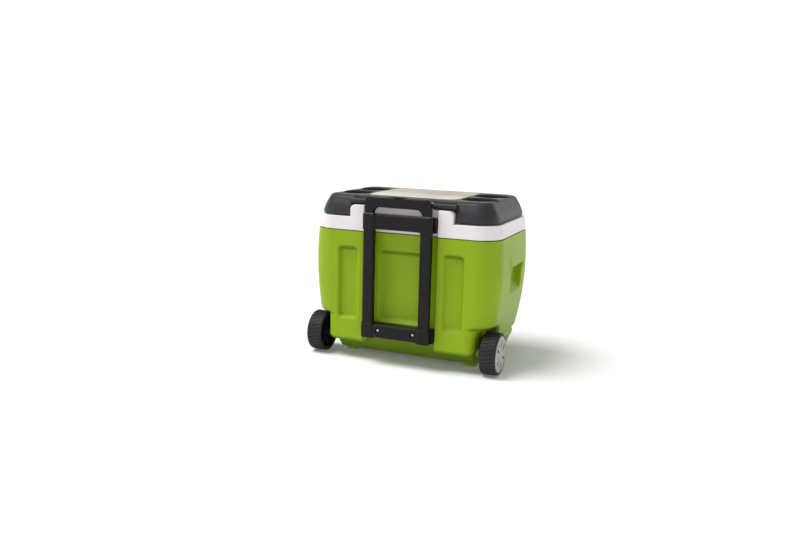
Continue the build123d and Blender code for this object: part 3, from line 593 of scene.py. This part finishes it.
def tyre_section(width, wall):
    """Points across the tyre: distance from its inner face, depth below the tread, and groove band."""
    middle = width / 2
    return [(0, 4.5, None), (0.4, 2.6, None), (1.6, 1.0, 0), (3.4, 0.2, 0), (5.5, 0, 0), (middle - 1.6, 0, 0),
            (middle - 1.0, 1.2, None), (middle + 1.0, 1.2, None), (middle + 1.6, 0, 1),
            (width - 5.5, 0, 1), (width - 3.4, 0.2, 1), (width - 1.6, 1.0, 1), (width - 0.4, 2.6, None),
            (width, 4.5, None), (width, wall - 1.2, None), (width - 0.8, wall, None),
            (0.8, wall, None), (0, wall - 1.2, None)]


def in_groove(share, band):
    """Grooves of band 0 and band 1 alternate round the tyre."""
    return {0: 0.54 < share or share < 0.02, 1: 0.04 < share < 0.52}.get(band, False)


def tyre(side):
    """Solid tyre with two staggered bands of cross blocks."""
    name = "left" if side > 0 else "right"
    inner, outer = tyre_low[0], tyre_high[0]
    radius = (tyre_high[2] - tyre_low[2]) / 2
    section = tyre_section(outer - inner, radius - TYRE_BORE)
    points, quads = [], []
    steps = [(pitch, share) for pitch in range(TREAD_PITCHES) for share in TREAD_SHARES]
    for pitch, share in steps:
        angle = 2 * pi * (pitch + share) / TREAD_PITCHES
        for across, drop, band in section:
            r = radius - drop - (TREAD_DEPTH if in_groove(share, band) else 0)
            points.append((side * (inner + across), AXLE_Y + r * sin(angle), AXLE_Z + r * cos(angle)))
    n = len(section)
    for i in range(len(steps)):
        j = (i + 1) % len(steps)
        for k in range(n):
            m = (k + 1) % n
            quads.append((i * n + k, j * n + k, j * n + m, i * n + m)[::side])
    piece = make_piece(f"treaded_tyre_{name}", points, quads)
    sharpen_edges(piece)
    finish_piece(piece, f"wheel_{name}", "tyre_black", f"wheel_tyre_{name}")


def sharpen_edges(piece):
    """Keeps edges over 35 degrees sharp."""
    piece.data.shade_smooth()
    piece.data.set_sharp_from_angle(angle=radians(35))


# ------------------------------------------------------------------ materials

def node(tree, kind, inputs=(), **settings):
    """A new shader node. Each input takes a socket to link or a value to set."""
    made = tree.nodes.new("ShaderNode" + kind)
    for key, value in settings.items():
        setattr(made, key, value)
    for key, value in dict(inputs).items():
        if isinstance(value, bpy.types.NodeSocket):
            tree.links.new(value, made.inputs[key])
        else:
            made.inputs[key].default_value = value
    return made


def noise(tree, coords, scale, detail=3.0, rough=0.5):
    inputs = {"Vector": coords, "Scale": scale, "Detail": detail, "Roughness": rough}
    return node(tree, "TexNoise", inputs).outputs[0]


def ramp(tree, value, low, high, to_low, to_high):
    """A value that runs from to_low to to_high as another runs from low to high."""
    return node(tree, "MapRange", {"Value": value, "From Min": low, "From Max": high,
                                   "To Min": to_low, "To Max": to_high}).outputs[0]


def calculated(tree, operation, a, b):
    """The result of a Math node on two values."""
    return node(tree, "Math", {0: a, 1: b}, operation=operation).outputs[0]


def mixed(tree, share, a, b):
    """Colour a turning to b by share, which is a socket or a number."""
    made = tree.nodes.new("ShaderNodeMix")
    made.data_type, made.blend_type = "RGBA", "MIX"
    for socket, value in ((made.inputs[0], share), (made.inputs[6], a), (made.inputs[7], b)):
        if isinstance(value, bpy.types.NodeSocket):
            tree.links.new(value, socket)
        else:
            socket.default_value = value
    return made.outputs[2]


def rgb(r, g, b):
    """A colour given in 0..255 display values."""
    shares = [c / 255 for c in (r, g, b)]
    return tuple(c / 12.92 if c <= 0.04 else ((c + 0.055) / 1.055) ** 2.4 for c in shares) + (1.0,)


def colour_ramp(tree, value, stops, interpolation="LINEAR"):
    """A colour that follows a value through stops, whose places run from 0 to 1."""
    made = tree.nodes.new("ShaderNodeValToRGB")
    made.color_ramp.interpolation = interpolation
    tree.links.new(value, made.inputs[0])
    elements = made.color_ramp.elements
    for place, colour in stops[1:-1]:
        elements.new(place).color = colour
    elements[0].color, elements[-1].color = stops[0][1], stops[-1][1]
    return made.outputs[0]


DRIFT_SCALE, GLOSS_SCALE, WEAR_SCALE = 7.0, 38.0, 120.0
# Ranges of the edge and under values: outer edges take wear, while inner corners and undersides take painted
# shade.
OUTER_EDGES, INNER_CORNERS, UNDERSIDES = (0.15, 0.9), (-0.1, -0.9), (0.1, 0.9)


def worn_edges(tree, coords, base, scuff):
    """The base colour turning to a paler one along outer edges, more so in patches."""
    edge = node(tree, "Attribute", attribute_name="edge").outputs["Fac"]
    patches = ramp(tree, noise(tree, coords, WEAR_SCALE, 5.0, 0.65), 0.45, 0.75, 0.0, 1.0)
    share = calculated(tree, "MULTIPLY", patches, ramp(tree, edge, *OUTER_EDGES, 0.0, 0.8))
    share = calculated(tree, "ADD", share, ramp(tree, edge, *OUTER_EDGES, 0.0, 0.25))
    return mixed(tree, share, base, scuff)


def painted_shade_in_folds(tree, base, shade):
    """Painted shade: the base colour turning to a darker one in inner corners and on faces that look down."""
    edge = node(tree, "Attribute", attribute_name="edge").outputs["Fac"]
    under = node(tree, "Attribute", attribute_name="under").outputs["Fac"]
    corners = ramp(tree, edge, *INNER_CORNERS, 0.0, 0.55)
    share = calculated(tree, "MAXIMUM", corners, ramp(tree, under, *UNDERSIDES, 0.0, 0.8))
    return mixed(tree, share, base, shade)


def plastic(name, colour, roughness, grain=0.0, grain_scale=900.0, spread=0.06, scuff=None, shade=None,
            specular=0.5, metallic=0.0):
    """Moulded plastic, rubber or metal: slow colour drift, uneven gloss, surface grain, worn edges, and
    painted shade in inner corners and on faces that look down.
    """
    material = bpy.data.materials.new(name)
    material.use_nodes = True
    tree = material.node_tree
    shader = tree.nodes["Principled BSDF"]
    coords = node(tree, "TexCoord").outputs["Object"]
    drift = ramp(tree, noise(tree, coords, DRIFT_SCALE), 0.3, 0.7, 0.0, 1.0)
    darker = tuple(c * (1 - spread) for c in colour[:3]) + (1.0,)
    lighter = tuple(c * (1 + spread) for c in colour[:3]) + (1.0,)
    base = mixed(tree, drift, darker, lighter)
    if scuff:
        base = worn_edges(tree, coords, base, scuff)
    # shade is a darker colour painted in as shade in inner corners and on undersides
    if shade:
        base = painted_shade_in_folds(tree, base, shade)
    tree.links.new(base, shader.inputs["Base Color"])
    patches = noise(tree, coords, GLOSS_SCALE, 4.0, 0.6)
    gloss = ramp(tree, patches, 0.25, 0.75, roughness * 0.9, roughness * 1.12)
    tree.links.new(gloss, shader.inputs["Roughness"])
    shader.inputs["Specular IOR Level"].default_value = specular
    shader.inputs["Metallic"].default_value = metallic
    if grain:
        height = noise(tree, coords, grain_scale, 2.0, 0.6)
        bump = node(tree, "Bump", {"Height": height, "Strength": 0.5, "Distance": grain})
        tree.links.new(bump.outputs[0], shader.inputs["Normal"])
    return material


# Places on the card are in metres.
CARD_X, CARD_FRONT, CARD_BACK = 0.122, -0.127, 0.089
TAB_LEFT, TAB_RIGHT, TAB_BACK = 0.040, -0.011, -0.107
TAB_BLUR_X, TAB_BLUR_Y = 0.002, 0.003
ALONG_STOPS = ((0.0, rgb(150, 152, 92)), (0.1, rgb(178, 172, 126)), (0.26, rgb(158, 140, 126)),
               (0.42, rgb(150, 140, 132)), (0.58, rgb(166, 158, 148)), (0.76, rgb(182, 174, 162)),
               (0.9, rgb(186, 178, 138)), (1.0, rgb(158, 160, 100)))
ACROSS_STOPS = ((0.0, rgb(176, 164, 146)), (0.45, rgb(150, 140, 128)), (0.62, rgb(206, 206, 192)),
                (0.86, rgb(214, 218, 206)), (1.0, rgb(255, 255, 255)))


def label_print():
    """A plain insert card: soft colour bands along its length and nothing readable."""
    material = bpy.data.materials.new("label_card")
    material.use_nodes = True
    tree = material.node_tree
    coords = node(tree, "TexCoord").outputs["Object"]
    x, y, _ = node(tree, "SeparateXYZ", {"Vector": coords}).outputs
    bands = colour_ramp(tree, ramp(tree, x, -CARD_X, CARD_X, 0.0, 1.0), ALONG_STOPS, "EASE")
    stretched = node(tree, "Mapping", {"Vector": coords, "Scale": (9.0, 70.0, 1.0)}).outputs[0]
    streaks = ramp(tree, noise(tree, stretched, 1.0), 0.38, 0.64, 0.0, 0.6)
    base = mixed(tree, streaks, bands, rgb(206, 202, 192))
    tint = colour_ramp(tree, ramp(tree, y, CARD_FRONT, CARD_BACK, 0.0, 1.0), ACROSS_STOPS)
    base = mixed(tree, 0.45, base, tint)
    tab = ramp(tree, y, TAB_BACK + TAB_BLUR_Y, TAB_BACK, 0.0, 1.0)
    tab = calculated(tree, "MULTIPLY", tab, ramp(tree, x, TAB_RIGHT - TAB_BLUR_X, TAB_RIGHT, 0.0, 1.0))
    tab = calculated(tree, "MULTIPLY", tab, ramp(tree, x, TAB_LEFT + TAB_BLUR_X, TAB_LEFT, 0.0, 1.0))
    base = mixed(tree, tab, base, rgb(168, 184, 120))
    shader = tree.nodes["Principled BSDF"]
    tree.links.new(base, shader.inputs["Base Color"])
    gloss = ramp(tree, noise(tree, coords, 60.0), 0.3, 0.7, 0.38, 0.5)
    tree.links.new(gloss, shader.inputs["Roughness"])
    shader.inputs["Specular IOR Level"].default_value = 0.25
    return material


# scuff is the paler colour of worn edges; shade is a darker colour painted in as shade in inner corners and
# on undersides.
LOOKS = {
    "shell_green": dict(
        colour=rgb(133, 163, 12), roughness=0.4, grain=0.00012, grain_scale=700.0, spread=0.05,
        scuff=rgb(160, 190, 52), shade=rgb(84, 112, 4), specular=0.2),
    "collar_white": dict(
        colour=rgb(224, 219, 221), roughness=0.34, grain=0.0001, grain_scale=700.0, spread=0.02,
        scuff=rgb(238, 234, 236), shade=rgb(186, 178, 180), specular=0.2),
    "liner_white": dict(
        colour=rgb(228, 228, 226), roughness=0.3, spread=0.015, specular=0.35),
    "lid_charcoal": dict(
        colour=rgb(50, 51, 53), roughness=0.42, grain=0.00018, grain_scale=1100.0,
        scuff=rgb(84, 86, 89), shade=rgb(30, 30, 32), specular=0.18),
    "handle_black": dict(
        colour=rgb(21, 18, 18), roughness=0.36, grain=0.00012, grain_scale=1000.0, spread=0.1,
        scuff=rgb(52, 49, 50), specular=0.18),
    "button_black": dict(
        colour=rgb(12, 12, 13), roughness=0.3, grain=0.0001, grain_scale=1000.0, spread=0.1, specular=0.15),
    "tube_grey": dict(
        colour=rgb(112, 113, 116), roughness=0.35, grain=0.00006, grain_scale=1500.0, spread=0.05,
        metallic=0.9),
    "steel": dict(
        colour=rgb(170, 171, 172), roughness=0.32, grain=0.00005, grain_scale=1500.0, metallic=1.0),
    "screw_steel": dict(
        colour=rgb(205, 205, 203), roughness=0.24, grain=0.00003, grain_scale=1500.0, spread=0.04,
        metallic=1.0),
    "tyre_black": dict(
        colour=rgb(38, 36, 37), roughness=0.6, grain=0.0003, grain_scale=600.0, spread=0.14, specular=0.3),
    "wheel_black": dict(
        colour=rgb(24, 23, 24), roughness=0.5, grain=0.00012, spread=0.1, specular=0.25),
    "hub_grey": dict(
        colour=rgb(168, 165, 161), roughness=0.4, grain=0.0001, spread=0.05, specular=0.4),
    "foam": dict(
        colour=rgb(228, 216, 172), roughness=0.9, grain=0.0006, grain_scale=350.0),
}
MATERIALS = {name: plastic(name, **look) for name, look in LOOKS.items()}
MATERIALS["label_card"] = label_print()


def paint(piece, slot):
    piece.data.materials.clear()
    piece.data.materials.append(MATERIALS[slot])


def finish_piece(piece, body, slot, *stands_for):
    """Gives a piece its material, hides the CAD nodes that it stands for, and hangs it on the body that
    carries it.
    """
    paint(piece, slot)
    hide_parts(*stands_for)
    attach(piece, body)


def paint_frame():
    """Every CAD node that shows gets its slot's material."""
    for row in frame["record"]["subparts"]:
        paint(frame["nodes"][row["node"]], row["material_slot"])


# ------------------------------------------------------------------ studio

# The studio is in metres.
STAGE_RADIUS, HORIZON_HEIGHT, STAGE_SIDES = 9.0, 3.6, 64
CAMERA_PLACE = Vector((-0.753, 1.9435, 0.623))
CAMERA_YAW, CAMERA_PITCH, CAMERA_ROLL = radians(22.71), radians(10.7), radians(1.46)


def add_light(name, kind, place, direction, **settings):
    """A light at a place, shining along a direction."""
    data = bpy.data.lights.new(name, kind)
    for key, value in settings.items():
        setattr(data, key, value)
    light = bpy.data.objects.new(name, data)
    bpy.context.scene.collection.objects.link(light)
    light.location = place
    light.rotation_euler = Vector(direction).to_track_quat("-Z", "Y").to_euler()


def stage_piece(name, points, faces, shade, glow):
    """A matt surface of the studio, which glows and casts no shadow."""
    mesh = bpy.data.meshes.new(name)
    mesh.from_pydata(points, [], faces)
    mesh.shade_smooth()
    material = bpy.data.materials.new(name)
    material.use_nodes = True
    shader = material.node_tree.nodes["Principled BSDF"]
    shader.inputs["Base Color"].default_value = (shade, shade, shade, 1)
    shader.inputs["Roughness"].default_value = 0.9
    shader.inputs["Emission Color"].default_value = (1, 1, 1, 1)
    shader.inputs["Emission Strength"].default_value = glow
    mesh.materials.append(material)
    piece = bpy.data.objects.new(name, mesh)
    bpy.context.scene.collection.objects.link(piece)
    piece.visible_shadow = False


def camera():
    """The camera stands behind the cooler, to its left."""
    ahead = cos(CAMERA_PITCH)
    forward = Vector((sin(CAMERA_YAW) * ahead, -cos(CAMERA_YAW) * ahead, -sin(CAMERA_PITCH)))
    right = Vector((-cos(CAMERA_YAW), -sin(CAMERA_YAW), 0))
    up = right.cross(forward)
    across, upright = sin(CAMERA_ROLL), cos(CAMERA_ROLL)
    right, up = upright * right + across * up, upright * up - across * right
    data = bpy.data.cameras.new("camera")
    data.lens, data.sensor_width = 35.73, 36
    data.clip_end = 100
    made = bpy.data.objects.new("camera", data)
    bpy.context.scene.collection.objects.link(made)
    turn = Matrix((right, up, -forward)).transposed().to_4x4()
    made.matrix_world = Matrix.Translation(CAMERA_PLACE) @ turn
    bpy.context.scene.camera = made
    bpy.context.scene.view_settings.view_transform = "Standard"


def studio():
    """Pale floor and horizon, and soft lights."""
    world = bpy.data.worlds.new("studio")
    bpy.context.scene.world = world
    world.use_nodes = True
    background = world.node_tree.nodes["Background"]
    background.inputs["Color"].default_value = (1, 1, 1, 1)
    background.inputs["Strength"].default_value = 0.15
    angles = [2 * pi * i / STAGE_SIDES for i in range(STAGE_SIDES)]
    ring = [(STAGE_RADIUS * cos(a), STAGE_RADIUS * sin(a)) for a in angles]
    floor = [(x, y, 0) for x, y in ring]
    stage_piece("floor", floor, [tuple(range(STAGE_SIDES))], shade=0.9, glow=0.06)
    wall = [(x, y, z) for x, y in ring for z in (0, HORIZON_HEIGHT)]
    count = len(wall)
    faces = [(i, i + 1, (i + 3) % count, (i + 2) % count) for i in range(0, count, 2)]
    stage_piece("horizon", wall, faces, shade=0.4, glow=0.95)
    add_light("key", "SUN", (0, 0, 0), (-0.45, -0.22, -0.86), energy=2.9, angle=radians(34))
    add_light("top", "AREA", (-0.2, 0.3, 2.4), (0.2, -0.3, -2.2), shape="DISK", size=1.6, energy=8)


paint_frame()
outer_shell()
collar()
lid()
lid_liner()
grip()
release_springs()
for side in (1, -1):
    tyre(side)
camera()
studio()
